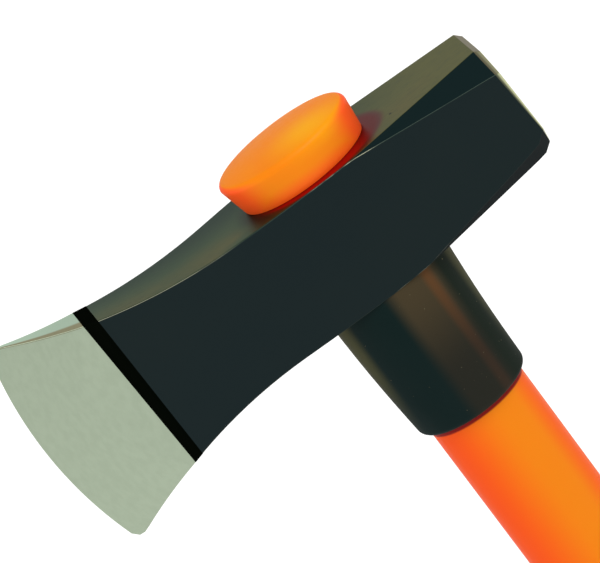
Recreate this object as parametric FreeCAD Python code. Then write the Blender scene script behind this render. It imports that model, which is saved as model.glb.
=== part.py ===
import FreeCAD
import Part
import math
import os

# A heavy fire and splitting axe: a forged steel head with a hammer poll, on a straight glass-fibre handle
# with a moulded plastic jacket. Millimetres. Z runs up the handle, the cutting edge faces -X, the poll faces
# +X. The origin is on the handle's axis at the underside of the head, where wall hooks carry the axe.

# ---- Driving dimensions: the head --------------------------------------------------------------------
edge_reach = 126.7        # handle's axis to the middle of the cutting edge
poll_reach = 71.1         # handle's axis to the middle of the hammer face
head_height = 49.0        # at the eye
poll_height = 46.2        # at the hammer face; the underside rises to it
head_thickness = 37.2     # across the cheeks, from the eye to the poll

edge_radius = 163.0       # curve of the cutting edge
toe_flare_start = 38.0    # handle's axis to where the top edge begins to sweep up
toe_flare_radius = 189.0
heel_flare_start = 36.0   # the same, for the underside's sweep down
heel_flare_radius = 168.0
blade_corner_radius = 3.5

cheek_curve_start = 20.0  # handle's axis to where the cheeks begin to close, on the poll side
wedge_start = 45.0        # handle's axis to where the cheeks run straight, on the blade side
wedge_half_angle = 8.3    # degrees
bevel_half_angle = 12.4   # degrees, the ground edge
edge_land = 0.5           # thickness left along the cutting edge

poll_chamfer = 8.5        # leg of the four corner chamfers, at the hammer face
poll_chamfer_runout = 12.0  # handle's axis to where those chamfers run out
poll_rake = 2.2           # degrees the hammer face leans back at the top
poll_face_bevel = 1.7     # ground bevel round the hammer face

# ---- Driving dimensions: the handle ------------------------------------------------------------------
handle_reach = 835.0      # underside of the head to the butt
handle_width = 38.2       # front to back
handle_thickness = 25.0   # side to side
core_width = 26.0
core_thickness = 15.0
core_butt_margin = 62.0   # solid jacket left below the core
core_crown_depth = 9.0    # jacket left over the core's top end

bond_gap = 0.6            # adhesive between the jacket and the wall of the eye
eye_taper = 2.9           # how much further each end of the eye reaches at the top, front and back
eye_side_taper = 0.6      # the same, at the sides

crown_height = 13.4       # side walls of the crown, above the head
crown_base_length = 48.6
crown_base_width = 30.4
crown_top_length = 53.0
crown_top_width = 32.2
crown_lean = 0.9          # how far the crown's top reaches forward of its base, towards the blade
crown_dome_radius = 170.0  # curve of the top, front to back
crown_camber_radius = 60.0  # curve of the top, side to side
crown_edge_radius = 2.0

# ---- Driving dimensions: the rubber pieces -----------------------------------------------------------
collar_length = 57.4      # below the head
collar_top_width = 49.2
collar_top_thickness = 35.6
collar_wall_front = 3.0   # rubber at the lower rim, front and back
collar_wall_side = 4.0    # rubber at the lower rim, at the sides
collar_rim_radius = 2.4

grip_length = 250.0
grip_wall = 2.4           # rubber at the upper end
grip_swell = 2.2          # how much prouder the palm swell stands
butt_flare = 6.5          # how much prouder the knob at the butt stands
butt_flare_length = 60.0
butt_cap = 6.0            # rubber under the jacket's end
butt_edge_radius = 4.5
groove_count = 9
groove_pitch = 13.0
groove_width = 3.0
groove_depth = 1.1
hang_hole_radius = 5.0
hang_hole_height = 30.0   # above the butt

# ---- Worked out from those ---------------------------------------------------------------------------
half_height = head_height / 2
half_cheek = head_thickness / 2
half_handle = (handle_width / 2, handle_thickness / 2)
edge_centre_x = edge_radius - edge_reach
poll_floor = head_height - poll_height
poll_middle_z = (head_height + poll_floor) / 2
butt_z = -handle_reach
jacket_end_z = butt_z + butt_cap
grip_top_z = butt_z + grip_length
flare_top_z = butt_z + butt_flare_length
hang_hole_z = butt_z + hang_hole_height
overrun = 12.0            # how far cutting tools run past what they cut
Y = FreeCAD.Vector(0, 1, 0)


def vec(x, y, z):
    return FreeCAD.Vector(x, y, z)


def line(a, b):
    return Part.LineSegment(a, b).toShape()


def poll_x(z):
    """Where the leaning hammer face is at height z."""
    return poll_reach - (z - poll_middle_z) * math.tan(math.radians(poll_rake))


def face_of(edges):
    return Part.Face(Part.Wire(Part.__sortEdges__(edges)))


def oval(half_x, half_y, z, x=0):
    """Closed elliptical wire at height z, about the handle's axis or a point x along from it."""
    ellipse = Part.Ellipse(vec(x, 0, z), max(half_x, half_y), min(half_x, half_y))
    ellipse.XAxis = vec(1, 0, 0) if half_x >= half_y else Y
    return Part.Wire(ellipse.toShape())


def oval_loft(sections, ruled=True):
    """Solid through ovals given as (half_x, half_y, z) or (half_x, half_y, z, x)."""
    return Part.makeLoft([oval(*section) for section in sections], True, ruled)


def oval_prism(half_x, half_y, z_low, z_high):
    return Part.Face(oval(half_x, half_y, z_low)).extrude(vec(0, 0, z_high - z_low))


# ---- The head ----------------------------------------------------------------------------------------
def flare(start_x, start_z, radius, up, end_x):
    """Arc that leaves a level line at start_x and sweeps up (+1) or down (-1) to end_x, and its end."""
    def point(x):
        rise = radius - math.sqrt(radius ** 2 - (start_x - x) ** 2)
        return vec(x, 0, start_z + up * rise)
    arc = Part.Arc(point(start_x), point((start_x + end_x) / 2), point(end_x))
    return arc.toShape(), point(end_x)


def head_silhouette():
    """The head seen from the side, drawn past the blade and trimmed by the round cutting edge."""
    past_edge = -edge_reach - overrun
    toe, toe_end = flare(-toe_flare_start, head_height, toe_flare_radius, 1, past_edge)
    heel, heel_end = flare(-heel_flare_start, 0, heel_flare_radius, -1, past_edge)
    poll_top = vec(poll_x(head_height), 0, head_height)
    poll_bottom = vec(poll_x(poll_floor), 0, poll_floor)
    under_eye = vec(0, 0, 0)
    outline = face_of([
        line(poll_top, vec(-toe_flare_start, 0, head_height)),
        toe,
        line(toe_end, heel_end),
        heel,
        line(vec(-heel_flare_start, 0, 0), under_eye),
        line(under_eye, poll_bottom),
        line(poll_bottom, poll_top),
    ])
    rim = Part.Circle(vec(edge_centre_x, 0, half_height), Y, edge_radius)
    return outline.common(face_of([rim.toShape()]))


def head_slab():
    """The silhouette as a plate much thicker than the head, with the blade's two corners rounded."""
    width = head_thickness + 2 * overrun
    slab = head_silhouette().Faces[0].extrude(vec(0, width, 0))
    slab.translate(vec(0, -width / 2, 0))
    corners = [edge for edge in slab.Edges
               if abs(edge.Length - width) < 0.01
               and edge.CenterOfMass.x < -edge_reach / 2
               and abs(edge.CenterOfMass.z - half_height) > half_height]
    return slab.makeFillet(blade_corner_radius, corners)


def cheek_edges(side):
    """One cheek seen from above: its edges from poll to blade, and its two ends. side is +1 or -1."""
    angle = math.radians(wedge_half_angle)
    curve_radius = (cheek_curve_start + wedge_start) / math.sin(angle)

    def on_curve(turn):
        x = cheek_curve_start - curve_radius * math.sin(turn)
        return vec(x, side * (half_cheek - curve_radius * (1 - math.cos(turn))), 0)
    poll = vec(poll_reach + overrun, side * half_cheek, 0)
    run = edge_reach + edge_land - wedge_start
    end = on_curve(angle) + vec(-run, -side * run * math.tan(angle), 0)
    curve = Part.Arc(on_curve(0), on_curve(angle / 2), on_curve(angle)).toShape()
    return [line(poll, on_curve(0)), curve, line(on_curve(angle), end)], poll, end


def head_plan():
    """The head seen from above, as a column taller than the head."""
    near, near_poll, near_end = cheek_edges(-1)
    far, far_poll, far_end = cheek_edges(1)
    outline = face_of(near + far + [line(near_poll, far_poll), line(near_end, far_end)])
    outline.translate(vec(0, 0, -head_height))
    return outline.extrude(vec(0, 0, 3 * head_height))


def edge_grind():
    """Two cones base to base, about the centre of the cutting edge's curve, so the bevel follows the edge."""
    slope = math.tan(math.radians(bevel_half_angle))
    half = half_cheek + 1
    rim = edge_radius + edge_land / 2 / slope
    side = rim - half / slope
    centre = vec(edge_centre_x, 0, half_height)
    profile = [centre + vec(x, y, 0) for x, y in
               ((0, -half), (-side, -half), (-rim, 0), (-side, half), (0, half), (0, -half))]
    return Part.Face(Part.makePolygon(profile)).revolve(centre, Y, 360)


def chamfer_cutter(side, top):
    """Wedge that takes off one long corner of the poll. side is +1 or -1, top is true or false."""
    corner_z = head_height if top else poll_floor
    runout_z = head_height if top else poll_floor * poll_chamfer_runout / poll_reach
    cheek_z = corner_z - poll_chamfer if top else corner_z + poll_chamfer
    across = vec(poll_x(corner_z), side * (half_cheek - poll_chamfer), corner_z)
    down = vec(poll_x(cheek_z), side * half_cheek, cheek_z)
    runout = vec(poll_chamfer_runout, side * half_cheek, runout_z)
    centre = (across + down + runout) * (1 / 3)
    corners = [centre + (point - centre) * 3 for point in (across, down, runout)]
    outward = (down - across).cross(runout - across).normalize()
    if outward.y * side < 0:
        outward = outward * -1
    return Part.Face(Part.makePolygon(corners + corners[:1])).extrude(outward * overrun)


def head_blank(slab):
    """The forged and ground head before the eye is cut."""
    blank = slab.common(head_plan()).common(edge_grind())
    for side in (-1, 1):
        for top in (False, True):
            blank = blank.cut(chamfer_cutter(side, top))
    blank = blank.Solids[0]
    face_edges = [edge for edge in blank.Edges
                  if all(abs(end.X - poll_x(end.Z)) < 0.01 for end in edge.Vertexes)]
    return blank.makeChamfer(poll_face_bevel, face_edges).Solids[0]


def eye_void():
    """The tapered oval hole, wider at the top."""
    def section(z):
        share = z / head_height
        half_x = half_handle[0] + bond_gap + eye_taper * share
        half_y = half_handle[1] + bond_gap + eye_side_taper * share
        return (half_x, half_y, z)
    return oval_loft([section(-overrun), section(head_height + overrun)])


# ---- The handle --------------------------------------------------------------------------------------
def crown_dome():
    """Barrel of which the crown's top is a small part: curved front to back and side to side."""
    top = head_height + crown_height + crown_top_width ** 2 / 8 / crown_camber_radius
    half = crown_top_width / 2 + overrun / 4
    sag = crown_camber_radius - math.sqrt(crown_camber_radius ** 2 - half ** 2)
    axis_z = top - crown_dome_radius
    low = axis_z - crown_dome_radius
    far, near = vec(0, half, low + sag), vec(0, -half, low + sag)
    far_foot, near_foot = vec(0, half, axis_z), vec(0, -half, axis_z)
    camber = Part.Arc(far, vec(0, 0, low), near).toShape()
    profile = face_of([camber, line(near, near_foot), line(near_foot, far_foot), line(far_foot, far)])
    return profile.revolve(vec(0, 0, axis_z), Y, 360)


def crown(slab):
    """The flared, domed end that stands on top of the head."""
    def section(z):
        share = (z - head_height) / crown_height
        half_x = crown_base_length + (crown_top_length - crown_base_length) * share
        half_y = crown_base_width + (crown_top_width - crown_base_width) * share
        return (half_x / 2, half_y / 2, z, -crown_lean * share)
    walls = oval_loft([section(head_height - overrun / 2), section(head_height + crown_height + overrun)])
    body = walls.common(crown_dome()).Solids[0]
    top_edges = [edge for edge in body.Edges if edge.BoundBox.ZMin > head_height + crown_height / 2]
    return body.makeFillet(crown_edge_radius, top_edges).cut(slab)


def eye_filling():
    """The jacket's tapered length inside the eye, run on into the crown."""
    share = 1 + crown_height / 2 / head_height
    top = (half_handle[0] + eye_taper * share, half_handle[1] + eye_side_taper * share, head_height * share)
    return oval_loft([(*half_handle, 0), top])


def handle_core():
    low = butt_z + core_butt_margin
    high = head_height + crown_height - core_crown_depth
    return oval_prism(core_width / 2, core_thickness / 2, low, high)


def hang_hole():
    depth = 2 * handle_width
    return Part.makeCylinder(hang_hole_radius, depth, vec(0, -depth / 2, hang_hole_z), Y)


def jacket_outside(slab):
    shaft = oval_prism(*half_handle, jacket_end_z, 0)
    return crown(slab).fuse([eye_filling(), shaft]).removeSplitter()


# ---- The rubber pieces -------------------------------------------------------------------------------
def neck_collar(slab):
    """The overstrike sleeve, pulled up the handle until it butts against the head."""
    rim_x = half_handle[0] + collar_wall_front
    rim_y = half_handle[1] + collar_wall_side
    grow_x = (collar_top_width / 2 - rim_x) / collar_length
    grow_y = (collar_top_thickness / 2 - rim_y) / collar_length
    rise = collar_length + overrun / 2
    sleeve = oval_loft([
        (rim_x, rim_y, -collar_length),
        (rim_x + grow_x * rise, rim_y + grow_y * rise, rise - collar_length),
    ])
    rim = [edge for edge in sleeve.Edges if edge.BoundBox.ZMax < -collar_length + 0.01]
    sleeve = sleeve.makeFillet(collar_rim_radius, rim)
    bore = oval_prism(*half_handle, -collar_length - overrun, overrun)
    return sleeve.cut(slab).cut(bore).cut(eye_filling())


def grip_proud(z):
    """How far the grip's rubber stands out from the jacket at height z."""
    swell = grip_swell * math.sin(math.pi * (z - flare_top_z) / (grip_top_z - flare_top_z))
    drop = (flare_top_z - z) / butt_flare_length
    flare_out = butt_flare * (1 - math.cos(math.pi * drop)) / 2
    return grip_wall + (swell if z > flare_top_z else flare_out)


def grip_section(z, sunk=0.0):
    proud = grip_proud(z) - sunk
    return (half_handle[0] + proud, half_handle[1] + proud, z)


def groove_ring(z):
    """Oval ring that cuts one groove across the grip."""
    low, high = z - groove_width / 2, z + groove_width / 2
    outer = oval_prism(*grip_section(z, -overrun)[:2], low, high)
    return outer.cut(oval_loft([grip_section(low, groove_depth), grip_section(high, groove_depth)]))


def grip_sleeve():
    """Rubber grip closed over the butt, with a palm swell, grooves and a flared knob."""
    palm = [grip_top_z + (flare_top_z - grip_top_z) * index / 4 for index in range(5)]
    knob = [flare_top_z - butt_flare_length * index / 4 for index in range(1, 5)]
    body = oval_loft([grip_section(z) for z in palm + knob], ruled=False)
    floor_edge = [edge for edge in body.Edges if edge.BoundBox.ZMax < butt_z + 0.01]
    body = body.makeFillet(butt_edge_radius, floor_edge)
    middle = (grip_top_z + flare_top_z) / 2
    for index in range(groove_count):
        body = body.cut(groove_ring(middle + (index - (groove_count - 1) / 2) * groove_pitch))
    bore = oval_prism(*half_handle, jacket_end_z, grip_top_z + overrun)
    return body.cut(bore).cut(hang_hole())


def build():
    """Every piece of the axe, by name."""
    slab = head_slab()
    blank = head_blank(slab)
    eye = eye_void()
    outside = jacket_outside(slab)
    core = handle_core()
    return {
        "axe_head": blank.cut(eye),
        "handle_core": core,
        "handle_jacket": outside.cut(core).cut(hang_hole()),
        "eye_bond": eye.common(blank).cut(outside),
        "neck_collar": neck_collar(slab),
        "grip_sleeve": grip_sleeve(),
    }


os.makedirs("parts", exist_ok=True)
for name, shape in build().items():
    solid = shape.Solids[0]
    print(f"{name}: {len(shape.Solids)} solid, valid {solid.isValid()}, {solid.Volume / 1000:.1f} cm3")
    solid.exportStep(f"parts/{name}.step")
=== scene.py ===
# %% [markdown]
# # A heavy axe, dressed around its CAD frame
# The CAD model already fixes every size and every fit of this axe. This lesson builds what the eye
# sees around that frame: a forged and ground head, a moulded orange jacket, a rubber collar and a
# rubber grip. The frame is loaded first.

# %% Load the frame
import math

import bmesh
import bpy
from mathutils import Matrix, Vector


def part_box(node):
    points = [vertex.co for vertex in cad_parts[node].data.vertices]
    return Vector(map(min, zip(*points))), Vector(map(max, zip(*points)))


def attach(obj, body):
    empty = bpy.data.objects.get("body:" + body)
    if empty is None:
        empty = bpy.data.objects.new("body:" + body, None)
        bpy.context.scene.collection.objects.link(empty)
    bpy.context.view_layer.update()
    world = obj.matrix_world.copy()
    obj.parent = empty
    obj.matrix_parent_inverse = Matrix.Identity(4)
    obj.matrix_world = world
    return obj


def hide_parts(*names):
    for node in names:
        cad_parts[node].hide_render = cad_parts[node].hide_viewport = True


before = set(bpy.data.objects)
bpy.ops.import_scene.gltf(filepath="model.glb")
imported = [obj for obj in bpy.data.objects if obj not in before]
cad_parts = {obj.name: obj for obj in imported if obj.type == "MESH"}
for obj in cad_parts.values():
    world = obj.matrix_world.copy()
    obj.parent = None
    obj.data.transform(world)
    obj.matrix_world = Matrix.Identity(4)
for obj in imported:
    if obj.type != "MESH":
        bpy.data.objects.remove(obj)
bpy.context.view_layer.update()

print("CAD nodes:", ", ".join(sorted(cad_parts)))

# %% [markdown]
# Blender works in metres, but a maker of axes thinks in millimetres. One factor keeps the numbers
# readable. Every piece below is a skin of closed rings, one ring after another, as a lathe or a
# lofting bench would build it: the rings say where the shape changes, and the faces follow by
# themselves. One helper makes the faces, and another turns them into a smooth-shaded object.
# Modelling by hand and smoothing with a subdivision modifier would also do, but the sizes would drift.

# %% Rings into faces
MM = 0.001


def skin(rings, first_cap=None, last_cap=None, closed=False):
    """Vertices and faces over rings of equal count. A cap is one point that closes that end."""
    count = len(rings[0])
    points = [point for ring in rings for point in ring]
    faces = []
    pairs = list(range(len(rings) - 1))
    if closed:
        pairs.append(len(rings) - 1)
    for index in pairs:
        low, high = index * count, (index + 1) % len(rings) * count
        for step in range(count):
            after = (step + 1) % count
            faces.append((low + step, low + after, high + after, high + step))
    for cap, base in ((first_cap, 0), (last_cap, len(points) - count)):
        if cap is not None:
            points.append(cap)
            tip = len(points) - 1
            faces += [(base + step, base + (step + 1) % count, tip) for step in range(count)]
    return points, faces


def smooth(mesh, sharp_degrees):
    """Smooth shading everywhere but along edges that bend by more than sharp_degrees."""
    mesh.shade_smooth()
    mesh.set_sharp_from_angle(angle=math.radians(sharp_degrees))


def piece_from(name, points, faces, sharp_degrees=50, pocket=None):
    """A smooth-shaded mesh object whose faces look outwards, with an optional closed pocket inside."""
    mesh = bpy.data.meshes.new(name)
    mesh.from_pydata([tuple(point) for point in points], [], faces)
    draft = bmesh.new()
    draft.from_mesh(mesh)
    bmesh.ops.recalc_face_normals(draft, faces=draft.faces)
    if pocket:
        corners = [draft.verts.new(point) for point in pocket[0]]
        walls = [draft.faces.new([corners[index] for index in face]) for face in pocket[1]]
        bmesh.ops.recalc_face_normals(draft, faces=walls)
        bmesh.ops.reverse_faces(draft, faces=walls)
    draft.to_mesh(mesh)
    draft.free()
    smooth(mesh, sharp_degrees)
    thing = bpy.data.objects.new(name, mesh)
    bpy.context.scene.collection.objects.link(thing)
    print(f"{name}: {len(mesh.vertices)} vertices, {len(mesh.polygons)} faces")
    return thing


two_squares = [[(0, 0, z), (1, 0, z), (1, 1, z), (0, 1, z)] for z in (0, 1)]
print("faces in a skin over two squares:", len(skin(two_squares)[1]))

# %% [markdown]
# ## The forged head
# The head starts as a block of steel that is hammered between dies, so its outline is made of a few
# long clean sweeps. Seen from the side, the top edge runs level over the eye and then sweeps up to
# the toe, and the underside sweeps down to the heel. Two functions give those two edges at any
# distance from the handle's axis. The numbers are the CAD model's own driving sizes. The rounded
# lower corner of the poll is the one thing added here.

# %% The head seen from the side
HEAD_HEIGHT = 49.0 * MM
HALF_HEIGHT = HEAD_HEIGHT / 2
EDGE_REACH = 126.7 * MM
EDGE_RADIUS = 163.0 * MM
EDGE_CENTRE = (EDGE_RADIUS - EDGE_REACH, HALF_HEIGHT)
POLL_REACH = 71.1 * MM
POLL_FLOOR = 2.8 * MM
POLL_RAKE = math.tan(math.radians(2.2))
TOE_START, TOE_RADIUS = 38.0 * MM, 189.0 * MM
HEEL_START, HEEL_RADIUS = 36.0 * MM, 168.0 * MM
CORNER_START, CORNER_RADIUS = 4.3 * MM, 6.0 * MM


def sweep(x, start, radius):
    """How far a sweep that starts at -start has left the level line at x."""
    past = max(0.0, -start - x)
    return radius - math.sqrt(radius ** 2 - past ** 2)


def top_line(x):
    return HEAD_HEIGHT + sweep(x, TOE_START, TOE_RADIUS)


def poll_x(z):
    """The hammer face leans back a little towards its top."""
    return POLL_REACH - (z - (HEAD_HEIGHT + POLL_FLOOR) / 2) * POLL_RAKE


def bottom_line(x):
    """Level under the eye, sweeping down to the heel, and rising to the poll's rounded corner."""
    rise = POLL_FLOOR * max(0.0, x) / poll_x(POLL_FLOOR)
    into_corner = max(0.0, x - (POLL_REACH - CORNER_START))
    rounding = CORNER_RADIUS - math.sqrt(CORNER_RADIUS ** 2 - into_corner ** 2)
    return rise + rounding - sweep(x, HEEL_START, HEEL_RADIUS)


def edge_x(z):
    """The cutting edge, an arc of a large circle."""
    return EDGE_CENTRE[0] - math.sqrt(EDGE_RADIUS ** 2 - (z - EDGE_CENTRE[1]) ** 2)


print("toe stands", round(sweep(-EDGE_REACH, TOE_START, TOE_RADIUS) / MM, 1), "mm above the eye")

# %% [markdown]
# Seen from above, the cheeks are parallel beside the poll, close in along a gentle curve past the
# eye, and end as a straight wedge. The last stretch before the edge was ground on a wheel to a
# blunter angle, which is why the ground bevel follows the round edge and not the wedge. Taking the
# thinner of the two everywhere gives the same meeting line as the grinding does.

# %% The head seen from above
HALF_CHEEK = 37.2 / 2 * MM
CHEEK_CURVE_START, WEDGE_START = 20.0 * MM, 45.0 * MM
WEDGE_ANGLE = math.radians(8.3)
BEVEL_SLOPE = math.tan(math.radians(12.4))
EDGE_LAND = 0.5 * MM
CHEEK_RADIUS = (CHEEK_CURVE_START + WEDGE_START) / math.sin(WEDGE_ANGLE)
RIM = EDGE_RADIUS + EDGE_LAND / 2 / BEVEL_SLOPE


def wedge_half(x):
    """Half the thickness of the forged wedge."""
    if x >= CHEEK_CURVE_START:
        return HALF_CHEEK
    curved = max(x, -WEDGE_START)
    dip = CHEEK_RADIUS - math.sqrt(CHEEK_RADIUS ** 2 - (CHEEK_CURVE_START - curved) ** 2)
    return HALF_CHEEK - dip - (curved - x) * math.tan(WEDGE_ANGLE)


def ground_half(x, z):
    """Half the thickness that the grinding wheel leaves."""
    return (RIM - math.hypot(x - EDGE_CENTRE[0], z - EDGE_CENTRE[1])) * BEVEL_SLOPE


def half_thickness(x, z):
    return min(wedge_half(x), ground_half(x, z))


def grind_x(z):
    """Where the ground bevel begins at height z, found by halving the stretch it lies in."""
    forged, ground = -WEDGE_START, edge_x(z)
    for _ in range(30):
        middle = (forged + ground) / 2
        if wedge_half(middle) < ground_half(middle, z):
            forged = middle
        else:
            ground = middle
    return (forged + ground) / 2


print("bevel width, mm:", round((grind_x(HALF_HEIGHT) - edge_x(HALF_HEIGHT)) / MM, 1))

# %% [markdown]
# No real forging has a knife-sharp corner. Paint rubs thin there, and the rounded metal catches the
# light as a fine bright line. The corner of each section is therefore drawn as two short arcs with
# a flat between them. Beside the poll that flat is the wide corner chamfer, and elsewhere it
# shrinks to almost nothing, so that one pattern of points serves the whole length.

# %% A rounded and chamfered corner
POLL_CHAMFER = 8.5 * MM
CHAMFER_RUNOUT = 12.0 * MM
CREASE_RADIUS = 0.35 * MM
ARC_STEPS = 3
SHORTEST_LEG = 0.62  # of the crease radius


def chamfer_leg(x):
    """Leg of the poll's corner chamfer at x. It runs out beside the eye."""
    return POLL_CHAMFER * max(0.0, x - CHAMFER_RUNOUT) / (POLL_REACH - CHAMFER_RUNOUT)


def corner_path(leg, radius):
    """Points from the cheek round to the level face, as (in from the cheek, in from the face)."""
    leg = max(leg, SHORTEST_LEG * radius)
    start = leg + radius * math.tan(math.pi / 8)
    turns = [math.pi / 4 * step / ARC_STEPS for step in range(ARC_STEPS + 1)]
    lower = [(radius * (1 - math.cos(turn)), start - radius * math.sin(turn)) for turn in turns]
    return lower + [(down, across) for across, down in reversed(lower)]


print("points in a corner:", len(corner_path(0, CREASE_RADIUS)))

# %% [markdown]
# The toe and the heel of the blade are rounded, because a sharp corner would chip. A small warp
# does it: any point that lies between the two sides of a corner is drawn in towards the centre of
# the rounding, more the nearer it is to the tip. The centre is where a circle of that radius
# touches both the edge's arc and the sweep from inside.

# %% Rounding the toe and the heel
TIP_RADIUS = 3.5 * MM
WARP_REACH = 4 * TIP_RADIUS


def circle_hit(start, way, centre, radius):
    """How far along way from start a circle round centre is met."""
    gap = (start[0] - centre[0], start[1] - centre[1])
    along = gap[0] * way[0] + gap[1] * way[1]
    room = along ** 2 - (gap[0] ** 2 + gap[1] ** 2 - radius ** 2)
    if room < 0:
        return math.inf
    hits = [-along - math.sqrt(room), -along + math.sqrt(room)]
    return min([hit for hit in hits if hit > 0], default=math.inf)


def tip_rounding(sweep_centre, sweep_radius):
    """The centre of the rounding between the edge and one sweep, by meeting two circles."""
    edge_reach, sweep_reach = EDGE_RADIUS - TIP_RADIUS, sweep_radius + TIP_RADIUS
    span = math.dist(EDGE_CENTRE, sweep_centre)
    along = (edge_reach ** 2 - sweep_reach ** 2 + span ** 2) / 2 / span
    off = math.sqrt(edge_reach ** 2 - along ** 2)
    unit_x, unit_z = [(end - start) / span for start, end in zip(EDGE_CENTRE, sweep_centre)]
    meetings = [(EDGE_CENTRE[0] + along * unit_x - side * off * unit_z,
                 EDGE_CENTRE[1] + along * unit_z + side * off * unit_x) for side in (-1, 1)]
    return min(meetings)


TOE = ((-TOE_START, HEAD_HEIGHT + TOE_RADIUS), TOE_RADIUS)
HEEL = ((-HEEL_START, -HEEL_RADIUS), HEEL_RADIUS)
TIPS = [(tip_rounding(*TOE), TOE), (tip_rounding(*HEEL), HEEL)]


def round_tips(x, z):
    """Draws a point beside the toe or the heel in to the rounding."""
    for centre, (sweep_centre, sweep_radius) in TIPS:
        reach = math.dist((x, z), centre)
        if reach == 0 or reach > WARP_REACH:
            continue
        way = ((x - centre[0]) / reach, (z - centre[1]) / reach)
        to_edge = Vector((centre[0] - EDGE_CENTRE[0], centre[1] - EDGE_CENTRE[1])).normalized()
        to_sweep = Vector((sweep_centre[0] - centre[0], sweep_centre[1] - centre[1])).normalized()
        turn = to_edge.x * to_sweep.y - to_edge.y * to_sweep.x
        past_edge = (to_edge.x * way[1] - to_edge.y * way[0]) * turn
        past_sweep = (way[0] * to_sweep.y - way[1] * to_sweep.x) * turn
        if past_edge > 0 and past_sweep > 0:
            wall = min(circle_hit(centre, way, EDGE_CENTRE, EDGE_RADIUS),
                       circle_hit(centre, way, sweep_centre, sweep_radius))
            share = min(1.0, reach / wall)
            drawn = reach * (1 - (1 - TIP_RADIUS / wall) * share ** 2)
            return centre[0] + way[0] * drawn, centre[1] + way[1] * drawn
    return x, z


print("tip roundings at, mm:", [[round(value / MM, 1) for value in centre] for centre, _ in TIPS])

# %% [markdown]
# The hammer face has a narrow bevel round it, so that a missed blow doesn't chip its edge. It was
# ground by eye, and came out wide at the top and almost nothing at the bottom. One function says
# what share of the full bevel is left at each height, and every slice of the head asks it.

# %% A bevel ground by eye
BEVEL_AT_FOOT, BEVEL_GAIN = 0.05, 1.15


def hand_ground(z):
    """Share of the bevel's full width at height z."""
    share = min(1.0, max(0.0, (z - POLL_FLOOR) / (HEAD_HEIGHT - POLL_FLOOR)))
    return BEVEL_AT_FOOT + BEVEL_GAIN * share


print("bevel's share at foot, middle and top:", [hand_ground(z) for z in (0, HALF_HEIGHT, HEAD_HEIGHT)])

# %% [markdown]
# One ring of the head is a slice across it. A station says where the slice stands at each height:
# upright in the middle, leaning with the hammer face at the poll, and bent to the round edge at the
# blade. The near half is worked out from the middle of the underside up to the middle of the top,
# and the far half is its mirror image. Each point also gets a mark that says how rubbed its corner
# is and how much painted highlight it carries, and the finish reads that mark later.

# %% One slice of the head
CHEEK_ROWS = 22
TOP_COLUMNS = 9
CREASE_SHARE = 0.4  # a crease is never rounder than this share of the half thickness
LEG_LOSS = 0.586  # a chamfer drawn in by 1 loses this much of its leg: 2 minus the root of 2
# Top corners catch the light, so they get the full mark of rubbing and painted highlight; bottom corners
# get a small one.
TOP_RUB_AND_LIGHT, FOOT_RUB_AND_LIGHT = 1.0, 0.2


def level_at(station, line, side, inset, share_at):
    """Where a station meets the top line (side 1) or the bottom line (side -1), moved in by inset."""
    z = HALF_HEIGHT
    for _ in range(25):
        z = line(station(z)) - side * inset * share_at(z)
    return station(z), z


def head_slice(station, inset=0.0, share_at=hand_ground):
    """Points of one ring, and for each of them whether it lies on a rounded corner."""
    ends = []
    for line, side in ((bottom_line, -1), (top_line, 1)):
        x, z = level_at(station, line, side, inset, share_at)
        drawn_in = inset * share_at(z)
        radius = min(CREASE_RADIUS, CREASE_SHARE * (half_thickness(x, z) - drawn_in))
        path = corner_path(chamfer_leg(x) - LEG_LOSS * drawn_in, radius)
        ends.append((x, z, side, path))
    near = []

    def lay(z, in_from_cheek, share, corner):
        """share runs from 0 at the middle to 1 at the cheek's side of a level face."""
        x, z = round_tips(station(z), z)
        half = half_thickness(x, z) - inset * share_at(z)
        near.append((x, -(half - in_from_cheek) * share, z, corner))

    for x, z, side, path in ends:
        level = [(z, path[-1][0], column / TOP_COLUMNS, 0.0) for column in range(TOP_COLUMNS)]
        rub_and_light = TOP_RUB_AND_LIGHT if side > 0 else FOOT_RUB_AND_LIGHT
        on_cheek_side = range(ARC_STEPS + 2, 2 * ARC_STEPS + 1)
        marks = [rub_and_light if step in on_cheek_side else 0.0 for step in range(len(path))]
        rows = level + [(z - side * down, across, 1.0, mark)
                        for (across, down), mark in zip(reversed(path), marks)]
        if side < 0:
            for row in rows:
                lay(*row)
            low_row = z + path[0][1]
            high_row = ends[1][1] - ends[1][3][0][1]
            for row in range(1, CHEEK_ROWS):
                lay(low_row + (high_row - low_row) * row / CHEEK_ROWS, 0.0, 1.0, 0.0)
        else:
            for row in reversed(rows):
                lay(*row)
    far = [(x, -y, z, corner) for x, y, z, corner in reversed(near[1:-1])]
    ring = near + far
    return [point[:3] for point in ring], [point[3] for point in ring]


sample, _ = head_slice(lambda z: 0.0)
print("points in one slice:", len(sample))

# %% [markdown]
# The stations are set closer together where the shape changes. They begin at the hammer face. Each
# line of the rim's profile says how far back from the face a ring stands, how far it is drawn in,
# and how bright the bare rim is painted there: brightest on its outer rounding, a painted highlight.

# %% The stations of the poll
POLL_JOIN, BLADE_JOIN = 45.0 * MM, -45.0 * MM
POLL_STEPS, EYE_STEPS = 8, 30
rim_profile = [(0.0, 2.0, 1.0), (0.0, 1.75, 1.0), (0.05, 1.62, 1.0), (0.18, 1.5, 0.9), (0.9, 0.8, 0.6),
               (1.52, 0.18, 0.3), (1.64, 0.06, 0.3), (1.78, 0.0, 0.0), (2.1, 0.0, 0.0), (3.0, 0.0, 0.0),
               (4.2, 0.0, 0.0)]
rim_depth = rim_profile[-1][0] * MM


def poll_station(back, share=1.0):
    return lambda z: POLL_JOIN + (poll_x(z) - back * hand_ground(z) - POLL_JOIN) * share


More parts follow.
